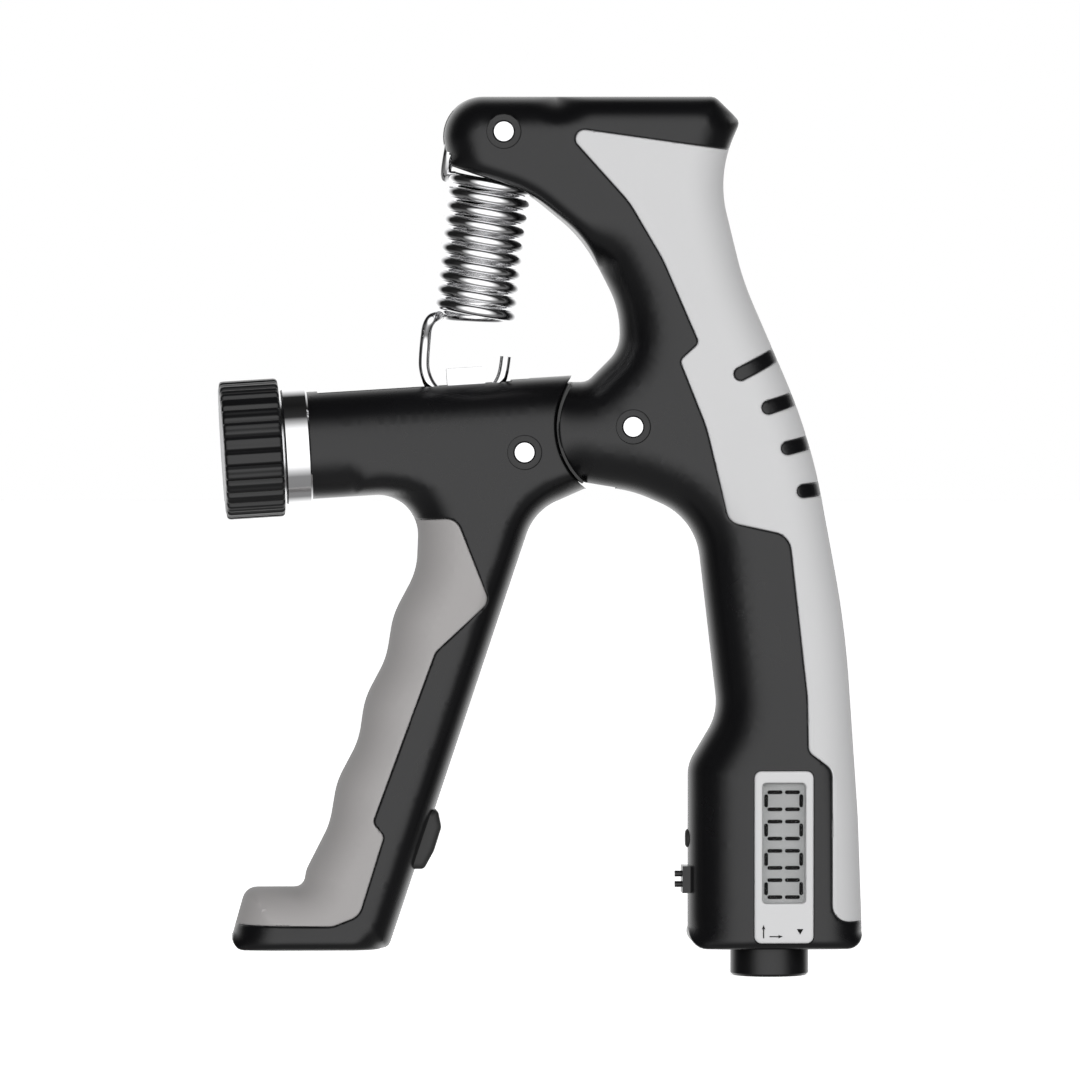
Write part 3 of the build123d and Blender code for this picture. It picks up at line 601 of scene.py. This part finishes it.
def make_frame():
    """Casing halves, the palm skin, the dark ribs that show through it, and a dark sheet in the gap at the
    hub that is painted shade.
    """
    sheets = {-1: frame_sheet(FRONT_DISHES), 1: frame_sheet(REAR_DISHES)}
    skin, ribs = bmesh.new(), bmesh.new()
    for sign, sheet in sheets.items():
        side = "front" if sign < 0 else "rear"
        bm = bmesh.new()
        add_half(bm, sheet.points, sheet.part(outside(sheet.seam)), sheet.heights, sign)
        casing = finished(f"frame_casing_{side}", bm, BLACK, None, [f"frame_{side}_shell"])
        recess = round_bar((RESET_X, 0, 0), (RESET_X, 0, RESET_ROOF), RESET_ROOM)
        cut(casing, [*hinge_sweep(), *spring_room(), recess])
        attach(casing, "frame")
        clear = [outside(rib) for rib in sheet.ribs]
        add_half(skin, sheet.points, sheet.part(within(sheet.seam), *clear), sheet.heights, sign)
        for rib in sheet.ribs:
            add_half(ribs, sheet.points, sheet.part(within(rib)), sheet.heights, sign)
    finished("palm_skin", skin, PALM_GREY, "frame", ["palm_grip"])
    finished("palm_ribs", ribs, BLACK, "frame")
    # A dark sheet across the gap between hub and lever: painted shade, standing in for the shadow in that
    # gap.
    turns = np.exp(1j * np.linspace(radians(GAP_SHADE_TURN[0]), radians(GAP_SHADE_TURN[1]), 60))
    rim = np.concatenate([GAP_SHADE_RADII[0] * turns, GAP_SHADE_RADII[1] * turns[::-1]])
    gap_shade = block(PIVOT + rim, -GAP_SHADE_HALF, GAP_SHADE_HALF)
    finished("hub_gap_shade", gap_shade, RUBBER, "frame")


# ---------------------------------------------------------------- lever
def socket_rounded(rim):
    """Presses the lever's hollow end onto its circle."""
    end = (abs(rim - PIVOT) < SOCKET_RADIUS + 0.01) & (rim.imag < 125)
    return np.where(end, PIVOT + SOCKET_RADIUS * (rim - PIVOT) / abs(rim - PIVOT), rim), end


def lever_sheet(dishes):
    """The lever's triangulated side view: a round barrel and a crowned handle flowing into each other."""
    rim, marks = outline(LEVER_OUTLINE)
    rim, socket = socket_rounded(rim)
    seam = outline(FINGER_SEAM, 0.7)[0]
    sheet = Sheet(rim, [seam], dishes)
    points = sheet.points
    up = complex(-sin(TILT), cos(TILT))
    height = ((points - PIVOT) * np.conj(up)).real
    hollow = np.clip(abs(height) / LEVER_HALF, 0, 1) ** 2
    fingers = (marks > 2.62) & (marks < 14)
    palm = (marks >= 15) & (marks < 17) & ~socket
    base = (marks >= 14) & (marks < 15)
    flank = rim[fingers]
    handle = np.concatenate([[flank[0] + 20j - 4], flank, rim[base], rim[palm], [20 + 98j, 20 + 130j]])
    starts = handle[: len(flank)]
    inner = inside(points, handle)
    crown = edge_profile(points, starts, handle[1 : len(flank) + 1], 9.5, 0.0)
    ends = np.roll(rim, -1)
    crown *= edge_profile(points, rim[palm], ends[palm], 6.5, 0.0)
    crown = np.where(inner & (height < 0), crown, 0) ** 2
    heights = LEVER_HALF * np.sqrt(np.clip(1 - hollow * (1 - crown), 0, 1))
    heights *= edge_profile(points, rim[base], ends[base], 2.5, 0.75)
    heights *= edge_profile(points, rim[socket], ends[socket], 0.6, 0.945)
    heights -= soften(points, [seam], SEAM_DROP, SEAM_WIDTH)
    for loop, depth in dishes:
        deep = inside(points, loop) & (from_loop(points, loop) > 0.05)
        heights[deep] = LEVER_HALF - depth
    sheet.heights = np.maximum(heights, THINNEST)
    sheet.seam = seam
    return sheet


def barrel_room():
    """The barrel's bore, the slot along its top, and the narrower slot that the hook swings into."""
    ends = [barrel_spot(s, 0) for s in (BORE_START, BARREL_END + 1)]
    tools = [round_bar(*[(e.real, 0, e.imag) for e in ends], BORE_RADIUS)]
    for start, stop, low, half in (SLOT, RELIEF):
        corners = ((start, low), (stop, low), (stop, SLOT_TOP), (start, SLOT_TOP))
        tools.append(block(np.array([barrel_spot(*corner) for corner in corners]), -half, half))
    return tools


def make_lever():
    """Casing halves, the finger skin and the striker."""
    pin = pin_dish(LEVER_PIN)
    screws = [(circle(spot, SCREW_RECESS), 3.4) for spot in LEVER_SCREWS]
    sheets = {-1: lever_sheet([pin]), 1: lever_sheet([pin, *screws])}
    skin = bmesh.new()
    for sign, sheet in sheets.items():
        side = "front" if sign < 0 else "rear"
        bm = bmesh.new()
        add_half(bm, sheet.points, sheet.part(outside(sheet.seam)), sheet.heights, sign)
        casing = finished(f"lever_casing_{side}", bm, BLACK, None, [f"lever_{side}_shell"])
        cut(casing, barrel_room())
        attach(casing, "lever")
        add_half(skin, sheet.points, sheet.part(within(sheet.seam)), sheet.heights, sign)
    finished("finger_skin", skin, FINGER_GREY, "lever", ["finger_grip"])
    bm = bmesh.new()
    rim = outline(STRIKER_OUTLINE, 0.4)[0]
    pad = Sheet(rim, rows=[0.05, 0.15, 0.35, 0.7, 1.1, 1.6], grid=1.2)
    heights = 5.0 * edge_profile(pad.points, rim, np.roll(rim, -1), 1.4, 0.7)
    for sign in (-1, 1):
        add_half(bm, pad.points, pad.faces, heights, sign)
    finished("striker", bm, RUBBER, "lever", ["striker_pad"])


# ---------------------------------------------------------------- knob
def make_knob():
    """The fluted adjusting knob: grooves along its rim, rounded ends and a shallow end recess."""
    count = FLUTES * 14
    turns = np.arange(count) * 2 * pi / count
    gap = (turns * FLUTES / (2 * pi) + 0.5) % 1 - 0.5
    groove = 0.62 * np.exp(-(gap / 0.13) ** 2) + 0.10 * (2 * gap) ** 2
    rows = [
        (KNOB_START, 4.0, 0), (KNOB_START, KNOB_RADIUS - 0.9, 1), (KNOB_START + 0.12, KNOB_RADIUS - 0.35, 1),
        (KNOB_START + 0.4, KNOB_RADIUS - 0.08, 1), (KNOB_START + 0.8, KNOB_RADIUS, 1),
        (KNOB_END - 0.8, KNOB_RADIUS, 1), (KNOB_END - 0.4, KNOB_RADIUS - 0.08, 1),
        (KNOB_END - 0.12, KNOB_RADIUS - 0.35, 1), (KNOB_END, KNOB_RADIUS - 0.9, 1),
        (KNOB_END, DISC_RADIUS, 0), (KNOB_END - 0.8, DISC_RADIUS, 0), (KNOB_END - 0.8, 4.0, 0),
    ]
    bm = bmesh.new()
    rings = []
    for along, radius, cut_in in rows:
        ring = []
        for turn, depth in zip(turns, groove):
            reach = radius - cut_in * depth
            spot = barrel_spot(along, reach * cos(turn))
            ring.append(bm.verts.new((spot.real * MM, reach * sin(turn) * MM, spot.imag * MM)))
        rings.append(ring)
    for one, two in zip(rings, rings[1:]):
        for i in range(count):
            j = (i + 1) % count
            bm.faces.new((one[i], one[j], two[j], two[i]))
    bm.faces.new(rings[0])
    bm.faces.new(rings[-1][::-1])
    finished("knob_rim", bm, KNOB_BLACK, "knob", ["adjusting_knob"], crease=40)


# ---------------------------------------------------------------- spring
def wire_mesh(name, line, radius, sides=20):
    """A round wire along a line of points in metres, with smooth normals all the way to its ends."""
    line = np.asarray(line)
    ahead = np.gradient(line, axis=0)
    ahead /= np.linalg.norm(ahead, axis=1)[:, None]
    across = np.cross(ahead[0], (0.3, 1.0, 0.2))
    rings, normals = [], []
    for spot, step in zip(line, ahead):
        across = across - step * (across @ step)
        across /= np.linalg.norm(across)
        other = np.cross(step, across)
        turns = np.arange(sides) * 2 * pi / sides
        out = np.cos(turns)[:, None] * across + np.sin(turns)[:, None] * other
        rings.append(spot + radius * out)
        normals.append(out)
    verts = np.concatenate(rings)
    faces = []
    for i in range(len(line) - 1):
        for k in range(sides):
            m = (k + 1) % sides
            faces.append((i * sides + k, i * sides + m, (i + 1) * sides + m, (i + 1) * sides + k))
    last = (len(line) - 1) * sides
    faces += [tuple(range(sides))[::-1], tuple(last + k for k in range(sides))]
    mesh = bpy.data.meshes.new(name)
    mesh.from_pydata([tuple(v) for v in verts], [], faces)
    mesh.shade_smooth()
    mesh.set_sharp_from_angle(angle=radians(60))
    mesh.normals_split_custom_set_from_vertices([tuple(n) for n in np.concatenate(normals)])
    piece = bpy.data.objects.new(name, mesh)
    bpy.context.scene.collection.objects.link(piece)
    mesh.materials.append(CHROME)
    return piece


def in_space(x, y, z):
    """A point given in the spring's own directions, in metres in the frame."""
    spot = spring_spot(x, z)
    return (spot.real * MM, y * MM, spot.imag * MM)


def share_to_step(share):
    """Where along a blend its smooth step reaches a share."""
    return 0.5 - sin(asin(1 - 2 * share) / 3)


def make_coil():
    """Half turns of the coil, each its own piece; each one's share between the spring's two ends is worked
    out, but nothing uses it.
    """
    per_half = 20
    for half in range(2 * COIL_TURNS):
        turns = (half + np.linspace(0, 1, per_half + 1)) / 2
        angles = pi - 2 * pi * turns
        line = [
            in_space(COIL_RADIUS * cos(a), COIL_RADIUS * sin(a), COIL_BOTTOM + COIL_PITCH * t)
            for a, t in zip(angles, turns)
        ]
        piece = wire_mesh(f"coil_half_turn_{half + 1:02d}", line, WIRE * MM)
        side = -COIL_RADIUS if half % 2 == 0 else COIL_RADIUS
        low, high = (share_to_step(1 - t / COIL_TURNS) for t in (turns[0], turns[-1]))
        slope = (high - low) / (-2 * side)
        first = side - low / slope
        middle = COIL_BOTTOM + COIL_PITCH * turns.mean()
        last = first + 1 / slope
        in_space(first, 0, middle)
        in_space(last, 0, middle)
        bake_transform(piece)
        if half == 0:
            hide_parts("tension_spring", "spring_end_turn")


def small_spring(name, place, across, along, radius, wire, pitch, turns):
    """A return spring's coil, between the frame at its far end and a moving body at its near end; it is made
    at rest and does not follow the body.
    """
    place, across, along = Vector(place), Vector(across), Vector(along)
    other = along.cross(across)
    line = []
    for turn in np.linspace(0, turns, 20 * turns + 1):
        angle = 2 * pi * turn
        line.append((place + along * pitch * turn + (across * cos(angle) + other * sin(angle)) * radius) * MM)
    piece = wire_mesh(name, line, wire * MM, 10)
    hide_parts(name)
    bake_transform(piece)


def smooth_line(spots, count):
    """A smooth line near some points: a curve of the third order through the first and last."""
    curve = bpy.data.curves.new("line", "CURVE")
    curve.dimensions = "3D"
    spline = curve.splines.new("NURBS")
    spline.points.add(len(spots) - 1)
    for point, spot in zip(spline.points, spots):
        point.co = (*spot, 1)
    spline.order_u = 3
    spline.use_endpoint_u = True
    spline.resolution_u = count
    holder = bpy.data.objects.new("line", curve)
    mesh = bpy.data.meshes.new_from_object(holder)
    line = np.array([v.co[:] for v in mesh.vertices])
    bpy.data.objects.remove(holder)
    return line


def make_hooks():
    """The wire's two ends: a loop over the anchor pin, and a longer loop round the slider's pin."""
    loop_x, loop_z, loop_r = -0.55, -4.35, 8.25
    arch = np.linspace(-0.42, pi + 0.1, 14)
    upper = [(loop_x + loop_r * cos(a), 0, loop_z + loop_r * sin(a)) for a in arch]
    upper += [(-8.85, 0.3, -6.4), (-8.9, 1.5, -9.0), (-8.7, 2.9, -10.3), (-7.9, 1.6, -10.0)]
    upper += [(-COIL_RADIUS, 0, COIL_TOP)]
    line = smooth_line([in_space(*p) for p in upper], 8)
    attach(wire_mesh("spring_top_hook", line, WIRE * MM), "spring")
    bowl_x, bowl_z, bowl_r = -1.07, -46.69, 8.1
    lower = [(-COIL_RADIUS, 0, COIL_BOTTOM), (-7.8, -1.5, COIL_BOTTOM - 0.1), (-8.8, -2.6, COIL_BOTTOM - 0.7)]
    lower += [(-9.35, -1.7, COIL_BOTTOM - 2.4), (-9.3, -0.4, COIL_BOTTOM - 4.6)]
    lower += [(bowl_x + bowl_r * cos(a), 0, bowl_z + bowl_r * sin(a)) for a in np.linspace(pi, 2 * pi, 13)]
    lower += [(bowl_x + bowl_r, 0, bowl_z + 2.2)]
    line = smooth_line([in_space(*p) for p in lower], 8)
    hook = wire_mesh("spring_bottom_hook", line, WIRE * MM)
    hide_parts("spring_lower_hook")
    leg_top, leg_foot = in_space(-9, 0, COIL_BOTTOM - 2.5), in_space(-9, 0, bowl_z - 1)
    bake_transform(hook)


# ---------------------------------------------------------------- counter
def make_counter():
    """The face plate with its softened edges, and the small arrows printed under the display."""
    rim = rounded_box(PLATE_CENTRE, 11.8, 34.4, 1.4, 0.5)
    hole = rounded_box(COUNTER_X + 27.0j, 8.6, 24.0, 0.7, 0.5)
    plate = Sheet(rim, [hole], rows=[0.05, 0.15, 0.3, 0.5], grid=1.5)
    drop = 0.35 * (1 - edge_profile(plate.points, rim, np.roll(rim, -1), 0.5, 0.0))
    drop = np.maximum(drop, 0.3 * (1 - edge_profile(plate.points, hole, np.roll(hole, -1), 0.4, 0.0)))
    bm = bmesh.new()
    add_half(bm, plate.points, plate.part(outside(hole)), PLATE_FRONT - drop, -1, base=PLATE_BACK, inset=0)
    finished("counter_bezel", bm, PLATE_GREY, "frame", ["counter_face_plate"])
    shaft, head = 0.13, 0.42
    up = [-shaft, -shaft + 2.2j, -head + 2.0j, 3.1j, head + 2.0j, shaft + 2.2j, shaft]
    down = [-0.75, 0.75, -1.3j]
    marks = [(44.0 + 8.1j, up, 1), (45.2 + 8.4j, up, -1j), (51.3 + 9.9j, down, 1)]
    bm = bmesh.new()
    for place, shape, turn in marks:
        loop = [place + spot * turn * 0.85 for spot in shape]
        one = block(loop, -12.36, -12.28)
        mesh = bpy.data.meshes.new("mark")
        one.to_mesh(mesh)
        one.free()
        bm.from_mesh(mesh)
    finished("printed_arrows", bm, INK, "frame")


# ---------------------------------------------------------------- CAD nodes that stay
FINISHES = {
    STEEL: ["frame_screws", "lever_screws", "battery_door_screw", "pivot_washers", "hinge_plate",
            "lead_screw", "thrust_washer", "reset_clip", "cell_contacts", "button_cell", "slider_nut",
            "hook_pin"],
    CHROME: ["spring_anchor_pin", "main_pivot_pin", "lever_pin", "barrel_collar"],
    BRASS: ["screw_bush", "pivot_bush"],
    BLACK: ["battery_door", "plunger_guide", "count_plunger", "reset_shaft", "count_switch", "reset_switch"],
    KNOB_BLACK: ["reset_knob"],
    RUBBER: ["lever_bump_stop", "lcd_contact_strips"],
    DISC_GREY: ["knob_end_disc"],
    LCD_GREY: ["lcd_panel"],
    INK: ["lcd_digits"],
    WINDOW: ["display_window"],
    GREEN_BOARD: ["counter_board"],
}


def finish_cad_nodes():
    """Gives each CAD node that still shows its own material."""
    for material, names in FINISHES.items():
        for name in names:
            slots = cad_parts[name].data.materials
            slots.clear()
            slots.append(material)


# ---------------------------------------------------------------- studio
def make_world():
    """A white room in front and behind, and dark flags to the sides, as round a product on a table."""
    world = bpy.data.worlds.new("studio")
    bpy.context.scene.world = world
    world.use_nodes = True
    tree = world.node_tree
    tree.nodes.clear()
    place = tree.nodes.new("ShaderNodeTexCoord")
    split = tree.nodes.new("ShaderNodeSeparateXYZ")
    span = node(tree, "ShaderNodeMapRange", 0, 0)
    span.inputs["From Min"].default_value = -1.0
    ramp = tree.nodes.new("ShaderNodeValToRGB")
    shades = [
        (0.0, 1.5), (0.08, 1.4), (0.17, 0.55), (0.26, 0.03), (0.5, 0.012), (0.74, 0.02), (0.84, 0.6),
        (0.92, 1.1), (1.0, 1.2),
    ]
    brightest = max(shade for _, shade in shades)
    stops = ramp.color_ramp.elements
    while len(stops) < len(shades):
        stops.new(0.5)
    for stop, (where, shade) in zip(stops, shades):
        stop.position = where
        stop.color = (shade / brightest, shade / brightest, shade / brightest, 1)
    glow = node(tree, "ShaderNodeBackground", 400, 0, Strength=brightest)
    under = node(tree, "ShaderNodeMapRange", 0, -300)
    for key, value in (("From Min", -0.9), ("From Max", 0.0), ("To Min", 0.16), ("To Max", 0.0)):
        under.inputs[key].default_value = value
    both = tree.nodes.new("ShaderNodeMix")
    both.data_type, both.blend_type = "RGBA", "ADD"
    both.inputs["Factor"].default_value = 1.0
    white = node(tree, "ShaderNodeBackground", 400, -200, Strength=1.0)
    white.inputs["Color"].default_value = (1, 1, 1, 1)
    light_path = tree.nodes.new("ShaderNodeLightPath")
    mix = tree.nodes.new("ShaderNodeMixShader")
    out = tree.nodes.new("ShaderNodeOutputWorld")
    link = tree.links.new
    link(place.outputs["Generated"], split.inputs["Vector"])
    link(split.outputs["Y"], span.inputs["Value"])
    link(span.outputs["Result"], ramp.inputs["Fac"])
    link(split.outputs["Z"], under.inputs["Value"])
    link(ramp.outputs["Color"], both.inputs[6])
    link(under.outputs["Result"], both.inputs[7])
    link(both.outputs[2], glow.inputs["Color"])
    link(light_path.outputs["Is Camera Ray"], mix.inputs["Fac"])
    link(glow.outputs["Background"], mix.inputs[1])
    link(white.outputs["Background"], mix.inputs[2])
    link(mix.outputs["Shader"], out.inputs["Surface"])


def area_light(name, place, aim, size, power):
    """A soft rectangular light that looks at a point."""
    data = bpy.data.lights.new(name, "AREA")
    data.shape = "RECTANGLE"
    data.size, data.size_y = size
    data.energy = power
    light = bpy.data.objects.new(name, data)
    light.location = place
    light.visible_glossy = False
    light.rotation_euler = (Vector(aim) - Vector(place)).to_track_quat("-Z", "Y").to_euler()
    bpy.context.scene.collection.objects.link(light)


def make_stage():
    """A pale floor under the grip, soft lights that don't show in its gloss, and the camera."""
    bm = bmesh.new()
    bmesh.ops.create_circle(bm, cap_ends=True, segments=96, radius=3.0)
    mesh = bpy.data.meshes.new("floor")
    bm.to_mesh(mesh)
    bm.free()
    floor = bpy.data.objects.new("floor", mesh)
    floor.location.z = cad_low.z
    bpy.context.scene.collection.objects.link(floor)
    pale = moulded("pale_floor", (0.86, 0.86, 0.86), 0.8, 5.0, 0.001, mottle=0.005, Emission_Strength=0.78)
    pale.node_tree.nodes["Principled BSDF"].inputs["Emission Color"].default_value = (1, 1, 1, 1)
    mesh.materials.append(pale)
    floor.visible_glossy = False
    floor.visible_diffuse = False
    middle = (cad_low + cad_high) / 2
    area_light("front_soft", (0.1, -1.2, 0.5), middle, (0.8, 0.8), 7.0)
    area_light("right_fill", (1.1, -0.6, 0.3), middle, (0.5, 0.8), 9.0)
    area_light("left_fill", (-1.0, -0.7, 0.1), (-0.03, 0, 0.03), (0.5, 0.4), 9.0)
    scene = bpy.context.scene
    scene.view_settings.view_transform = "Standard"
    view_height, view_width, far = 0.0872, 0.216, 2.4
    yaw, pitch = radians(3.0), radians(2.0)
    data = bpy.data.cameras.new("camera")
    data.sensor_width = 36.0
    data.lens = data.sensor_width * far / view_width
    data.clip_end = 20
    camera = bpy.data.objects.new("camera", data)
    aim = Vector((0, 0, view_height))
    back = Vector((-sin(yaw) * cos(pitch), -cos(yaw) * cos(pitch), sin(pitch)))
    camera.location = aim + back * far
    camera.rotation_euler = (-back).to_track_quat("-Z", "Y").to_euler()
    scene.collection.objects.link(camera)
    scene.camera = camera


make_frame()
make_lever()
make_knob()
make_coil()
make_hooks()
small_spring("reset_spring", (RESET_X, 0, 9.6), (-1, 0, 0), (0, 0, 1), 3.2, 0.3, 0.65, 3)
small_spring("plunger_spring", (32.87, 0, PLUNGER_Z), (0, 0, 1), (1, 0, 0), 1.4, 0.25, 0.8, 4)
make_counter()
finish_cad_nodes()
make_world()
make_stage()
